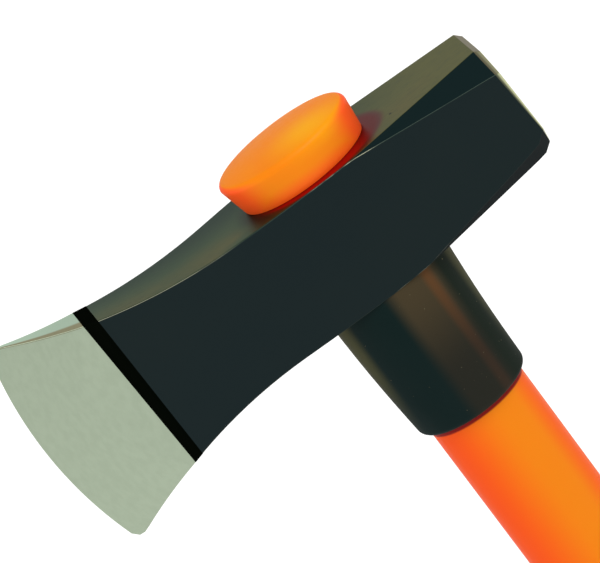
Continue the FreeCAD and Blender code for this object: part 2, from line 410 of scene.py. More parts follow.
stations = []
for back, inset, rim_and_highlight in rim_profile:
    stations.append((poll_station(back * MM), inset * MM, rim_and_highlight))
for step in range(POLL_STEPS - 1, 0, -1):
    stations.append((poll_station(rim_depth, step / POLL_STEPS), 0.0, 0.0))
for step in range(EYE_STEPS + 1):
    upright = POLL_JOIN + (BLADE_JOIN - POLL_JOIN) * step / EYE_STEPS
    stations.append((lambda z, x=upright: x, 0.0, 0.0))
print("stations from the hammer face to the end of the cheeks:", len(stations))

# %% [markdown]
# Past the cheeks the stations bend, more and more, until the last one is the cutting edge itself.
# Two of them stand a hair before and a hair behind the line where the grinding starts, which keeps
# that line crisp when the faces are shaded smooth.

# %% The stations of the blade
WEDGE_STEPS, BEVEL_STEPS = 24, 13
GRIND_CLEAR = 0.25 * MM


def blade_station(first, last, share):
    """A station part of the way from one border to another."""
    return lambda z: first(z) + (last(z) - first(z)) * share


def join(z):
    return BLADE_JOIN


def before_grind(z):
    return grind_x(z) + GRIND_CLEAR


def after_grind(z):
    return grind_x(z) - GRIND_CLEAR


for step in range(1, WEDGE_STEPS + 1):
    stations.append((blade_station(join, before_grind, step / WEDGE_STEPS), 0.0, 0.0))
stations.append((grind_x, 0.0, 0.0))
for step in range(BEVEL_STEPS + 1):
    stations.append((blade_station(after_grind, edge_x, step / BEVEL_STEPS), 0.0, 0.0))
print("stations of the whole head:", len(stations))

# %% [markdown]
# Now every station gives its ring, and the skin goes over them. A fan of triangles would close the
# two ends, but it would crease the flat hammer face. Each end is sewn instead, row by row, from the
# near half across to the far half.

# %% Rings of the head, and its two ends
HEAD_SHARP = 40  # degrees: a bend beyond this stays a crisp edge
rings, corners, rim_marks = [], [], []
for station, inset, rim_and_highlight in stations:
    ring, corner = head_slice(station, inset)
    rings.append(ring)
    corners += corner
    rim_marks += [rim_and_highlight] * len(ring)
points, faces = skin(rings)
count = len(rings[0])
half_count = count // 2
level_end = TOP_COLUMNS + 1


def sew_end(base):
    """Faces that close one end of the head, from the near half across to the far half."""

    def far(step):
        return base + (count - step) % count

    low = list(range(level_end + 1))
    high = list(range(half_count - level_end, half_count + 1))
    caps = [tuple([base + step for step in low] + [far(step) for step in reversed(low[1:])]),
            tuple([base + step for step in high] + [far(step) for step in reversed(high[:-1])])]
    rows = range(level_end, half_count - level_end)
    return caps + [(base + step, base + step + 1, far(step + 1), far(step)) for step in rows]


faces += sew_end(0) + sew_end(len(points) - count)
head = piece_from("forged_head", points, faces, HEAD_SHARP)

# %% [markdown]
# The eye is the hole that takes the handle. It is wider at the top, so that the handle, dropped in
# from above, wedges itself tight. A tapered oval plug is made with the same ring helper, to be taken
# away from the head as a mandrel would punch it. The thin shell of adhesive that fills the gap is
# a CAD node, and it stays.

# %% A plug for the eye
HALF_HANDLE = (38.2 / 2 * MM, 25.0 / 2 * MM)
BOND_GAP = 0.6 * MM
EYE_TAPER = (2.9 * MM, 0.6 * MM)
PLUG_SPARE = 12 * MM
TIGHT_TURN = 0.012


def oval(half_x, half_y, z, shift=0.0, around=96):
    """One level ring. Extra points stand close together at the front and the back."""
    turns = [2 * math.pi * step / around for step in range(around)]
    extra = [base + lean for base in (0.0, math.pi) for lean in (-TIGHT_TURN, TIGHT_TURN)]
    turns = sorted(turns + [turn % (2 * math.pi) for turn in extra])
    return [(shift + half_x * math.cos(turn), half_y * math.sin(turn), z) for turn in turns]


def eye_size(z, gap):
    """Half widths at height z, gap outside the handle, which swells inside the eye."""
    share = z / HEAD_HEIGHT
    return [half + gap + taper * share for half, taper in zip(HALF_HANDLE, EYE_TAPER)]


plug_levels = (-PLUG_SPARE, HEAD_HEIGHT + PLUG_SPARE)
plug_rings = [oval(*eye_size(z, BOND_GAP), z) for z in plug_levels]
plug = piece_from("eye_plug", *skin(plug_rings, (0, 0, plug_levels[0]), (0, 0, plug_levels[1])))

# %% [markdown]
# The cut is a boolean modifier that is applied at once, so that no hidden cutter stays behind. The
# marks of rubbed and highlit corners and of the ground rim with its painted brightness are stored on
# the points first, because the cut carries them over to its new points. The level faces round the eye
# are large and flat beside very narrow roundings, and a weighted-normal modifier keeps their shading
# flat.

# %% Punch the eye
def cut_away(thing, cutter):
    """Takes the cutter's shape out of thing for good, and removes the cutter."""
    cut = thing.modifiers.new("cut", "BOOLEAN")
    cut.operation, cut.solver, cut.object = "DIFFERENCE", "EXACT", cutter
    bpy.context.view_layer.update()
    shaped = thing.evaluated_get(bpy.context.evaluated_depsgraph_get())
    mesh = bpy.data.meshes.new_from_object(shaped)
    thing.modifiers.clear()
    thing.data = mesh
    bpy.data.objects.remove(cutter)
    print(f"{thing.name} after the cut: {len(mesh.polygons)} faces")


for name, values in (("rubbed_and_highlit_corner", corners), ("hammer_rim", rim_marks)):
    head.data.attributes.new(name, "FLOAT", "POINT").data.foreach_set("value", values)
cut_away(head, plug)
smooth(head.data, HEAD_SHARP)
weigh = head.modifiers.new("level_faces_stay_level", "WEIGHTED_NORMAL")
weigh.keep_sharp = True
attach(head, "root")
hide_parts("axe_head")

# %% [markdown]
# A black band runs round the blade where the paint ends and the grinding begins. It is a thick coat
# of its own, so it is made as a thin shell that stands a hair proud of the steel. Its front border
# leans a little more than its back one, so it is narrower at the heel than at the toe.

# %% The black band
BAND_PROUD, BAND_SUNK = 0.07 * MM, -0.05 * MM
BAND_EDGE = 0.6 * BAND_PROUD
BAND_TOP, BAND_DROP = 56.3 * MM, 64.1
FRONT_AT_TOP, FRONT_LEAN = -90.7 * MM, 1.6
BACK_AT_TOP, BACK_LEAN = -85.7 * MM, 0.4


def band_front(z):
    return FRONT_AT_TOP + (BAND_TOP - z) * FRONT_LEAN / BAND_DROP


def band_back(z):
    return BACK_AT_TOP + (BAND_TOP - z) * BACK_LEAN / BAND_DROP


def all_round(z):
    """The band stands proud by the same amount at every height."""
    return 1.0


band_rings = []
for share, stand in ((0, BAND_SUNK), (0, BAND_EDGE), (0.03, BAND_PROUD), (0.5, BAND_PROUD),
                     (0.97, BAND_PROUD), (1, BAND_EDGE), (1, BAND_SUNK)):
    ring, _ = head_slice(blade_station(band_front, band_back, share), -stand, all_round)
    band_rings.append(ring)
band = piece_from("black_band", *skin(band_rings, closed=True))
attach(band, "root")

# %% [markdown]
# ## The moulded jacket
# A glass-fibre core carries the load, and orange plastic is moulded over it in one shot. Above the
# head the jacket swells into a flared crown with a domed top, and that crown is made first. Its
# rings step out over the head, follow the leaning wall, turn over the small edge rounding and close
# in over the dome. The dome is a barrel: curved strongly across, gently along.

# %% The crown's dome and wall
CROWN_HEIGHT = 13.4 * MM
CROWN_BASE = (48.6 / 2 * MM, 30.4 / 2 * MM)
CROWN_TOP = (53.0 / 2 * MM, 32.2 / 2 * MM)
CROWN_LEAN = 0.9 * MM
DOME_RADIUS, CAMBER_RADIUS = 170.0 * MM, 60.0 * MM
CROWN_EDGE = 2.0 * MM
CROWN_FOOT = ((0.02, 0.35), (0.12, 0.1))  # rise above the head and inset, both in mm
WALL_FROM = HEAD_HEIGHT + 0.4 * MM
WALL_STEPS = 8
DOME_SHARES = (0.94, 0.86, 0.76, 0.64, 0.5, 0.34, 0.18, 0.06)
DOME_TOP = HEAD_HEIGHT + CROWN_HEIGHT + CROWN_TOP[1] ** 2 / 2 / CAMBER_RADIUS


def dome(x, y):
    """Height of the barrel-shaped top."""
    across = DOME_RADIUS - CAMBER_RADIUS + math.sqrt(CAMBER_RADIUS ** 2 - y ** 2)
    return DOME_TOP - DOME_RADIUS + math.sqrt(across ** 2 - x ** 2)


def crown_wall(z, inset=0.0):
    """One ring of the wall, which leans and widens as it rises."""
    share = (z - HEAD_HEIGHT) / CROWN_HEIGHT
    halves = [base + (top - base) * share - inset for base, top in zip(CROWN_BASE, CROWN_TOP)]
    return oval(*halves, z, -CROWN_LEAN * share)


def crown_rings():
    """Rings from the crown's foot to its middle, and the point that closes the dome."""
    rim = HEAD_HEIGHT + CROWN_HEIGHT - CROWN_EDGE
    rings = [crown_wall(HEAD_HEIGHT + rise * MM, inset * MM) for rise, inset in CROWN_FOOT]
    rings += [crown_wall(WALL_FROM + (rim - WALL_FROM) * step / WALL_STEPS)
              for step in range(WALL_STEPS + 1)]
    for step in range(1, WALL_STEPS + 1):
        turn = math.pi / 2 * step / WALL_STEPS
        inset = CROWN_EDGE * (1 - math.cos(turn))
        drop = CROWN_EDGE * (1 - math.sin(turn))
        rings.append([(x, y, dome(x, y) - drop) for x, y, _ in crown_wall(rim, inset)])
    middle = -CROWN_LEAN * (rim - HEAD_HEIGHT) / CROWN_HEIGHT
    last = rings[-1]
    for share in DOME_SHARES:
        ring = [(middle + (x - middle) * share, y * share) for x, y, _ in last]
        rings.append([(x, y, dome(x, y)) for x, y in ring])
    return rings, (middle, 0, dome(middle, 0))


print("crown stands", round((DOME_TOP - HEAD_HEIGHT) / MM, 1), "mm proud of the head")

# %% [markdown]
# The rest of the jacket runs from the butt up the straight shaft and widens inside the eye. The
# core lies in a closed pocket inside it. The pocket is a second, inward-facing skin in the same
# mesh, so that the jacket has the wall thickness it would show if it were sawn through.

# %% The jacket's rings
butt_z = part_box("grip_sleeve")[0].z
jacket_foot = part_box("handle_jacket")[0].z
core_low, core_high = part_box("handle_core")
SHAFT_STEPS, POCKET_STEPS = 60, 4
BUTT_EDGE, BUTT_BREAK = 0.8 * MM, 0.25 * MM


def jacket_rings():
    """Rings from the butt to the crown, and the points that close both ends."""
    rings = [oval(HALF_HANDLE[0] - inset, HALF_HANDLE[1] - inset, jacket_foot + rise)
             for inset, rise in ((BUTT_EDGE, 0.0), (BUTT_BREAK, BUTT_BREAK))]
    levels = [jacket_foot + BUTT_EDGE]
    levels += [jacket_foot * (1 - step / SHAFT_STEPS) for step in range(1, SHAFT_STEPS + 1)]
    rings += [oval(*HALF_HANDLE, z) for z in levels]
    rings += [oval(*eye_size(z, 0.0), z) for z in (HEAD_HEIGHT / 2, HEAD_HEIGHT)]
    crown, tip = crown_rings()
    return rings + crown, (0, 0, jacket_foot), tip


def pocket():
    """The core's place inside the jacket."""
    length = core_high.z - core_low.z
    levels = [core_low.z + length * step / POCKET_STEPS for step in range(POCKET_STEPS + 1)]
    rings = [oval(core_high.x, core_high.y, z) for z in levels]
    return skin(rings, (0, 0, core_low.z), (0, 0, core_high.z))


rings, foot, tip = jacket_rings()
jacket = piece_from("moulded_jacket", *skin(rings, foot, tip), pocket=pocket())

# %% [markdown]
# The hang hole near the butt goes through jacket and grip together. A hole through rubber has a
# soft lip, not a sharp one. The drill used here is a spool: straight in the middle and flared where
# it breaks through the surface. In the jacket, which lies under the rubber, the flare is nothing.

# %% Drill the hang hole
HANG_RADIUS, HANG_HEIGHT = 5.0 * MM, 30.0 * MM
LIP, NO_LIP = 1.3 * MM, 0.001 * MM
DRILL_SPARE, DRILL_SIDES, LIP_STEPS = 6 * MM, 64, 6
LIP_SUNK = 0.15 * MM
WELL_OUTSIDE = 30 * MM


def hang_drill(name, surface, lip):
    """A drill along Y with a flare where it leaves the surface at y = +-surface."""
    profile = [(-surface - DRILL_SPARE, HANG_RADIUS + lip)]
    turns = [math.pi / 2 * step / LIP_STEPS for step in range(LIP_STEPS + 1)]
    profile += [(-surface + lip * math.sin(turn) - LIP_SUNK, HANG_RADIUS + lip * (1 - math.sin(turn)))
                for turn in turns]
    profile += [(-y, radius) for y, radius in reversed(profile)]
    middle = butt_z + HANG_HEIGHT
    around = [2 * math.pi * step / DRILL_SIDES for step in range(DRILL_SIDES)]
    rings = [[(radius * math.cos(turn), y, middle + radius * math.sin(turn)) for turn in around]
             for y, radius in profile]
    return piece_from(name, *skin(rings, (0, profile[0][0], middle), (0, profile[-1][0], middle)))


cut_away(jacket, hang_drill("jacket_drill", WELL_OUTSIDE, NO_LIP))
smooth(jacket.data, HEAD_SHARP)
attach(jacket, "root")
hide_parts("handle_jacket")

# %% [markdown]
# ## The rubber collar
# A missed blow lands on the handle just under the head, so a thick rubber collar guards that place.
# It is pulled up from the butt, hugs the jacket, and butts against the head. It flares towards the
# head, its back a little hollow and its front a little full, and its lower rim is rounded. The ring
# list goes up the outside, over the top, and down the bore, and then closes on itself.

# %% The collar's rings
COLLAR_LENGTH = 57.4 * MM
COLLAR_TOP = (49.2 / 2 * MM, 35.6 / 2 * MM)
COLLAR_RIM = (HALF_HANDLE[0] + 3.0 * MM, HALF_HANDLE[1] + 4.0 * MM)
RIM_RADIUS = 2.4 * MM
FLUTE = 0.55 * MM
RIM_STEPS, BODY_STEPS, BORE_STEPS = 8, 22, 6
BORE_EASE = 0.02 * MM


def collar_ring(z, inset=0.0):
    """One ring of the outside, hollowed at the back and full at the front by the flute."""
    share = 1 + z / COLLAR_LENGTH
    half_x, half_y = [rim + (top - rim) * share - inset for rim, top in zip(COLLAR_RIM, COLLAR_TOP)]
    bow = FLUTE * math.sin(math.pi * min(1.0, max(0.0, share)))
    ring = oval(half_x, half_y, z)
    return [(x - bow * abs(x) / half_x if half_x else x, y, z) for x, y, z in ring]


def under_head(ring):
    """A ring whose points touch the head's underside."""
    return [(x, y, bottom_line(x)) for x, y, _ in ring]


collar_rings = [oval(*[half + BORE_EASE for half in HALF_HANDLE], -COLLAR_LENGTH)]
for step in range(RIM_STEPS, -1, -1):
    turn = math.pi / 2 * step / RIM_STEPS
    collar_rings.append(collar_ring(-COLLAR_LENGTH + RIM_RADIUS * (1 - math.sin(turn)),
                                    RIM_RADIUS * (1 - math.cos(turn))))
for step in range(1, BODY_STEPS):
    body_z = -COLLAR_LENGTH + RIM_RADIUS + (COLLAR_LENGTH - RIM_RADIUS) * step / BODY_STEPS
    collar_rings.append(collar_ring(body_z))
collar_rings += [under_head(collar_ring(0.0)), under_head(oval(*HALF_HANDLE, 0.0))]
collar_rings += [oval(*HALF_HANDLE, -COLLAR_LENGTH * step / BORE_STEPS) for step in range(1, BORE_STEPS)]
collar = piece_from("rubber_collar", *skin(collar_rings, closed=True))
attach(collar, "root")
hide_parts("neck_collar")

# %% [markdown]
# ## The rubber grip
# The lower hand never leaves this grip, so it swells into the palm, carries cross grooves for the
# fingers, and ends in a flared knob that stops the hand sliding off. It is dipped or moulded as one
# cup over the butt. The list of heights is close where a groove's wall rounds over and sparse where
# the grip runs straight.

# %% How far the grip stands out
GRIP_TOP = butt_z + 250.0 * MM
FLARE_TOP = butt_z + 60.0 * MM
GRIP_WALL, GRIP_SWELL, BUTT_FLARE = 2.4 * MM, 2.2 * MM, 6.4 * MM
GROOVE_PITCH, GROOVE_HALF, GROOVE_DEPTH = 13.0 * MM, 1.5 * MM, 1.1 * MM
GROOVES = [(GRIP_TOP + FLARE_TOP) / 2 + step * GROOVE_PITCH for step in range(-4, 5)]
GROOVE_EASE, GROOVE_WALL = 0.35 * MM, 0.9 * MM
BUTT_RADIUS, TOP_LIP = 4.5 * MM, 1.1 * MM
HEIGHT_PITCH = 4.0 * MM
GROOVE_HEIGHTS = (0.5, 0.95, 1.1, 1.25, 1.4, 1.55, 1.7, 1.85)  # mm from a groove's middle


def proud(z):
    """Rubber outside the jacket at height z, before the grooves are pressed in."""
    if z > FLARE_TOP:
        return GRIP_WALL + GRIP_SWELL * math.sin(math.pi * (z - FLARE_TOP) / (GRIP_TOP - FLARE_TOP))
    return GRIP_WALL + BUTT_FLARE * (1 - math.cos(math.pi * (FLARE_TOP - z) / (FLARE_TOP - butt_z))) / 2


def groove(z):
    """Depth of the nearest groove: a flat floor between two rounded walls."""
    off = min(abs(z - middle) for middle in GROOVES)
    share = min(1.0, max(0.0, (GROOVE_HALF + GROOVE_EASE - off) / GROOVE_WALL))
    return GROOVE_DEPTH * share * share * (3 - 2 * share)


heights = [GRIP_TOP - TOP_LIP - step * HEIGHT_PITCH for step in range(62)]
heights += [middle + side * off * MM for middle in GROOVES for side in (-1, 1) for off in GROOVE_HEIGHTS]
heights = sorted({round(z, 6) for z in heights if z > butt_z + BUTT_RADIUS}, reverse=True)
print("heights along the grip:", len(heights))

# %% [markdown]
# The grip is one cup, so its rings run in one line: up the bore that hugs the jacket, over the soft
# lip at the top, down the grooved outside, round the knob, and in under the butt. The butt is a
# little dished, which lets the axe stand on a ring of rubber and not on one high spot.

# %% The grip's rings
GRIP_BORE_STEPS, LIP_RINGS, KNOB_STEPS = 10, 6, 8
GRIP_EASE = 0.05 * MM
DISH_DEPTH = 0.6
DISH = ((0.86, 0.0), (0.82, 0.15), (0.79, 0.45),
        (0.76, DISH_DEPTH), (0.45, DISH_DEPTH), (0.15, DISH_DEPTH))  # share of the knob, lift in mm


def grip_ring(z, inset=0.0):
    stand = proud(z) - groove(z) - inset
    return oval(HALF_HANDLE[0] + stand, HALF_HANDLE[1] + stand, z)


grip_rings = [oval(*HALF_HANDLE, jacket_foot + (GRIP_TOP - jacket_foot) * step / GRIP_BORE_STEPS)
              for step in range(GRIP_BORE_STEPS)]
grip_rings.append(oval(*[half + GRIP_EASE for half in HALF_HANDLE], GRIP_TOP))
for step in range(LIP_RINGS + 1):
    turn = math.pi / 2 * step / LIP_RINGS
    ring = grip_ring(GRIP_TOP - TOP_LIP, TOP_LIP * (1 - math.sin(turn)))
    grip_rings.append([(x, y, GRIP_TOP - TOP_LIP * (1 - math.cos(turn))) for x, y, _ in ring])
grip_rings += [grip_ring(z) for z in heights[1:]]
for step in range(KNOB_STEPS + 1):
    turn = math.pi / 2 * step / KNOB_STEPS
    grip_rings.append(grip_ring(butt_z + BUTT_RADIUS * (1 - math.sin(turn)),
                                BUTT_RADIUS * (1 - math.cos(turn))))
knob = grip_rings[-1]
grip_rings += [[(x * share, y * share, butt_z + lift * MM) for x, y, _ in knob] for share, lift in DISH]
grip = piece_from("rubber_grip", *skin(grip_rings, (0, 0, jacket_foot), (0, 0, butt_z + DISH_DEPTH * MM)))
cut_away(grip, hang_drill("grip_drill", HALF_HANDLE[1] + proud(butt_z + HANG_HEIGHT), LIP))
smooth(grip.data, HEAD_SHARP)
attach(grip, "root")
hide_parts("grip_sleeve")

# %% [markdown]
# ## Finishes
# Every finish is a small tree of shader nodes. Painting image textures would need the pieces
# unwrapped, and a tree of nodes stays sharp at any distance. Colours are written as they look on a
# screen, from 0 to 255, and are turned into the linear light that the renderer works with.

# %% Screen colours
def tint(red, green, blue):
    """A screen colour as linear light."""
    shares = [value / 255 for value in (red, green, blue)]
    return tuple(share / 12.92 if share <= 0.04045 else ((share + 0.055) / 1.055) ** 2.4
                 for share in shares) + (1.0,)


print("a middle grey of 128 is", round(tint(128, 128, 128)[0], 3), "of full light")

# %% [markdown]
# All the finishes need the same few moves: noise of a certain grain, a soft step between two
# values, a blend of two colours, and a bump. A short class keeps those moves on one line each, and
# so the recipe of a finish can be read from top to bottom.

# %% A bench for finishes
class Finish:
    """A material that is being mixed: each call adds nodes and returns the socket to use next."""

    def __init__(self, name, **shader_values):
        self.material = bpy.data.materials.new(name)
        self.material.use_nodes = True
        self.tree = self.material.node_tree
        self.shader = self.tree.nodes["Principled BSDF"]
        self.place = self.node("ShaderNodeTexCoord").outputs["Object"]
        for socket, value in shader_values.items():
            self.feed(self.shader.inputs[socket.replace("_", " ")], value)

    def feed(self, socket, value):
        if isinstance(value, bpy.types.NodeSocket):
            self.tree.links.new(value, socket)
        else:
            socket.default_value = value

    def node(self, kind, inputs=None, **settings):
        made = self.tree.nodes.new(kind)
        for key, value in settings.items():
            setattr(made, key, value)
        for key, value in (inputs or {}).items():
            self.feed(made.inputs[key], value)
        return made

    def math(self, operation, *values):
        return self.node("ShaderNodeMath", dict(enumerate(values)), operation=operation).outputs[0]

    def both(self, first, *others):
        """Where every share holds: their product."""
        for share in others:
            first = self.math("MULTIPLY", first, share)
        return first

    def either(self, first, *others):
        """Where any share holds: the largest."""
        for share in others:
            first = self.math("MAXIMUM", first, share)
        return first

    def without(self, share):
        return self.math("SUBTRACT", 1.0, share)

    def away(self, value, middle=0.0):
        """Distance from a middle value, on either side."""
        return self.math("ABSOLUTE", self.math("SUBTRACT", value, middle))

    def axes(self, vector=None):
        """The three parts of a vector: of the place on the piece, if none is given."""
        return self.node("ShaderNodeSeparateXYZ", {0: vector or self.place}).outputs

    def noise(self, scale, stretch=(1, 1, 1), detail=2.0):
        """A cloudy pattern from 0 to 1. A high scale makes a fine grain."""
        scaled = self.node("ShaderNodeMapping", {"Vector": self.place, "Scale": stretch}).outputs[0]
        inputs = {"Vector": scaled, "Scale": scale, "Detail": detail}
        return self.node("ShaderNodeTexNoise", inputs).outputs["Fac"]

    def step(self, value, low, high, first=0.0, last=1.0):
        """A soft rise from first to last while value goes from low to high."""
        inputs = {"Value": value, "From Min": low, "From Max": high, "To Min": first, "To Max": last}
        return self.node("ShaderNodeMapRange", inputs, interpolation_type="SMOOTHSTEP").outputs["Result"]

    def blend(self, share, first, last):
        inputs = {"Factor": share, "A": first, "B": last}
        mix = self.node("ShaderNodeMix", data_type="RGBA")
        for name, value in inputs.items():
            sockets = [socket for socket in mix.inputs if socket.name == name and socket.enabled]
            self.feed(sockets[0], value)
        return [socket for socket in mix.outputs if socket.enabled][0]

    def bump(self, height, depth, onto=None):
        """A finely raised surface, laid onto another bump if one is given."""
        inputs = {"Height": height, "Distance": depth}
        if onto is not None:
            inputs["Normal"] = onto
        return self.node("ShaderNodeBump", inputs).outputs["Normal"]

    def wear(self, colour=None, roughness=None, metal=None, normal=None):
        """Joins the mixed sockets to the shader."""
        named = {"Base Color": colour, "Roughness": roughness, "Metallic": metal, "Normal": normal}
        for socket, value in named.items():
            if value is not None:
                self.feed(self.shader.inputs[socket], value)

    def put_on(self, *things):
        for thing in things:
            thing.data.materials.clear()
            thing.data.materials.append(self.material)
        print(self.material.name, "on", ", ".join(thing.name for thing in things))


print("moves of a finish:", ", ".join(name for name in vars(Finish) if name[0] != "_"))

# %% [markdown]
# ## The head's finish
# The head was painted all over and then ground where it works. Three zones follow from that: dark
# teal-black paint on the cheeks and chamfers, bare drab steel on the level top and underside where
# the belt passed, and pale ground steel in front of the band and on the hammer face. Each zone is
# found from its place on the head or from which way the face looks, so the borders stay crisp at
# any size. The two marks stored on the points say where corners are rubbed and carry a painted
# highlight, and where the rim is and how bright it is painted.

# %% Zones of the head
steel = Finish("painted_and_ground_steel", Specular_IOR_Level=0.12)
x, y, z = steel.axes()
looks = steel.node("ShaderNodeNewGeometry").outputs["Normal"]
look_z = steel.axes(looks)[2]
BARE_FROM = -88.6 * MM
in_front = steel.step(x, BARE_FROM + 0.1 * MM, BARE_FROM - 0.1 * MM)
on_top = steel.step(look_z, 0.8, 0.92)
on_level = steel.step(steel.math("ABSOLUTE", look_z), 0.8, 0.92)
on_facet = steel.both(steel.step(look_z, 0.5, 0.68), steel.without(on_top))
rim_share = steel.node("ShaderNodeAttribute", attribute_name="hammer_rim").outputs["Fac"]
on_rim = steel.step(rim_share, 0.12, 0.2)
corner_mark = steel.node("ShaderNodeAttribute", attribute_name="rubbed_and_highlit_corner").outputs["Fac"]
print("zones mixed: blade, level faces, poll facets, hammer rim, rubbed corners")

# %% [markdown]
# The paint is nearly even and a shade lighter on the poll's facets. Where it faces the ground it is
# painted darker, which is painted shade. The bare top is not even: heat and oil left it green-grey
# towards the blade, brownish towards the poll and bluer on its far side. The wheel left fine parallel
# scratches everywhere it touched. Three noises of different grain give all of that.

# %% Paint and bare top
broad = steel.noise(22.0, (1.0, 1.6, 1.0), 3.0)
fine = steel.noise(420.0, (1, 1, 1), 3.0)
ground = steel.noise(240.0, (1.0, 9.0, 1.0), 3.0)
paint = steel.blend(steel.step(broad, 0.35, 0.65), tint(3, 20, 22), tint(5, 21, 22))
paint = steel.blend(on_facet, paint, tint(4, 22, 23))
# Painted shade: the paint is darker where it faces the ground.
paint = steel.blend(steel.step(look_z, -0.3, -0.6), paint, tint(0, 10, 12))
towards_poll = steel.step(x, -30.0 * MM, 60.0 * MM)
drab = steel.blend(towards_poll, tint(54, 76, 50), tint(90, 91, 46))
far_side = steel.both(steel.step(y, -4.0 * MM, 13.0 * MM), steel.without(towards_poll))
drab = steel.blend(far_side, drab, tint(28, 52, 38))
brown = steel.both(steel.step(broad, 0.42, 0.62), steel.step(y, 6.0 * MM, -16.0 * MM))
drab = steel.blend(steel.both(brown, 0.7), drab, tint(98, 90, 46))
drab = steel.blend(steel.step(ground, 0.45, 0.8, 0.0, 0.5), drab, tint(48, 60, 44))
print("paint and bare steel mixed")

# %% [markdown]
# The shiny orange crown throws a dark red glow on the steel round its foot, and a shadow towards
# the blade. Both are mixed by how far a point lies outside an oval round the foot, and only on the
# upper half of the head. One small dark pit was left by the forge.

# %% Glow and shadow round the crown
def reach_from(finish, x, y, centre, halves):
    """Distance from a centre, counted in half widths of an oval."""
    shares = [finish.math("POWER", finish.math("DIVIDE", finish.math("SUBTRACT", value, at), half), 2.0)
              for value, at, half in zip((x, y), centre, halves)]
    return finish.math("SQRT", finish.math("ADD", *shares))


GLOW_CENTRE, GLOW_HALVES = (3.0 * MM, -3.0 * MM), (25.0 * MM, 14.5 * MM)
PIT_CENTRE, PIT_HALVES = (33.7 * MM, -8.4 * MM), (0.8 * MM, 0.8 * MM)
foot_gap = reach_from(steel, x, y, GLOW_CENTRE, GLOW_HALVES)
shadow = steel.both(steel.step(foot_gap, 1.36, 1.12), steel.step(x, -15.0 * MM, -23.0 * MM))
upper = steel.step(z, 20.0 * MM, 30.0 * MM)
drab = steel.blend(steel.both(shadow, upper, 0.7), drab, tint(30, 38, 32))
beside = steel.both(upper, steel.step(x, -26.0 * MM, -12.0 * MM))
drab = steel.blend(steel.both(steel.step(foot_gap, 1.22, 1.08), beside), drab, tint(86, 44, 38))
glow = steel.blend(steel.step(x, 14.0 * MM, 27.0 * MM), tint(168, 12, 20), tint(92, 22, 20))
drab = steel.blend(steel.both(steel.step(foot_gap, 1.12, 1.0), beside), drab, glow)
pit = steel.step(reach_from(steel, x, y, PIT_CENTRE, PIT_HALVES), 1.0, 0.4)
drab = steel.blend(steel.both(pit, 0.85), drab, tint(12, 16, 12))
print("glow, shadow and pit mixed round the crown's foot")

# %% [markdown]
# Along the rounded corners the paint is rubbed thin in places, most of all beside the eye and
# towards the blade. Metal shows there. The lines are also painted lighter than the paint as a
# painted highlight, where the corners catch the light. What is rubbed and highlit is laid over the
# paint and the bare steel.

# %% Rubbed corners with painted highlight lines
patches = steel.noise(110.0, (1, 1, 1), 4.0)
by_the_eye = steel.both(steel.step(steel.away(x, 10.0 * MM), 17.0 * MM, 8.0 * MM),
                        steel.step(patches, 0.42, 0.6))
by_the_blade = steel.step(x, -30.0 * MM, -50.0 * MM, 0.0, 0.6)
# Painted highlight: the rubbed corners are painted light, brightest beside the eye and towards the blade.
rub_and_highlight_colour = steel.blend(steel.either(by_the_eye, by_the_blade), tint(58, 70, 62), tint(176, 176, 150))
worn_and_highlit = steel.both(corner_mark, steel.step(patches, 0.25, 0.5, 0.35, 1.0))
colour = steel.blend(on_level, paint, drab)
colour = steel.blend(worn_and_highlit, colour, rub_and_highlight_colour)
print("rubbed corners laid over the paint")

# %% [markdown]
# The ground blade is bright and even on its sides. Its top is painted lighter, palest towards the
# very edge, with a brownish strip under its top crease; both are painted reflection. Its rounded
# corners are painted darker, a painted reflection line. The rim of the hammer face is bare, painted
# bright on its outer rounding as a painted highlight, dull where it meets the paint, and browner
# where it faces up. Bare metal is metallic and fairly smooth, and paint is neither.

# %% Bright metal
blade = steel.blend(steel.step(ground, 0.3, 0.7), tint(151, 163, 143), tint(155, 167, 147))
behind_edge = steel.math("SUBTRACT", RIM, reach_from(steel, x, z, EDGE_CENTRE, (1.0, 1.0)))
across_top = steel.math("DIVIDE", y, steel.both(behind_edge, BEVEL_SLOPE))
# Painted reflection: the blade's top is painted lighter, with a brownish strip under its crease.
blade_top_painted_light = steel.blend(steel.step(behind_edge, 0.0, 30.0 * MM), tint(184, 208, 184), tint(172, 194, 172))
blade_top_painted_light = steel.blend(steel.step(across_top, -0.25, -0.5), blade_top_painted_light, tint(142, 138, 104))
blade = steel.blend(on_top, blade, blade_top_painted_light)
# Painted reflection: a darker line along the blade's rounded corners.
blade = steel.blend(steel.both(corner_mark, 0.8), blade, tint(104, 96, 66))
colour = steel.blend(in_front, colour, blade)
# Painted highlight: the bare rim is painted bright on its outer rounding and dull where it meets the
# paint.
rim_colour = steel.blend(steel.step(rim_share, 0.35, 0.85), tint(76, 80, 60), tint(188, 190, 150))
rim_colour = steel.blend(steel.step(look_z, 0.4, 0.6), rim_colour, tint(112, 104, 78))
colour = steel.blend(on_rim, colour, rim_colour)
bare = steel.either(in_front, on_rim, on_level, worn_and_highlit)
coarse = steel.either(steel.step(look_z, -0.3, -0.6), on_facet)
paint_rough = steel.both(steel.step(coarse, 0.0, 1.0, 0.5, 0.92), steel.without(bare))
roughness = steel.math("ADD", paint_rough, steel.both(bare, 0.44))
grain = steel.math("ADD", steel.both(fine, 0.6), steel.both(ground, 0.5))
steel.wear(colour, roughness, bare, steel.bump(grain, 0.03 * MM))
steel.put_on(head)

# %% [markdown]
# The band is dead matt black: a dark pigment with no gloss on top, and only a trace of brush marks.

# %% Finish of the band
coat = Finish("matt_black_coat", Specular_IOR_Level=0.0)
brushed = coat.noise(300.0, (1.0, 1.0, 0.1), 2.0)
coat.wear(coat.blend(brushed, tint(2, 4, 2), tint(5, 7, 4)),
          coat.step(brushed, 0.3, 0.7, 0.85, 1.0), None, coat.bump(brushed, 0.01 * MM))
coat.put_on(band)
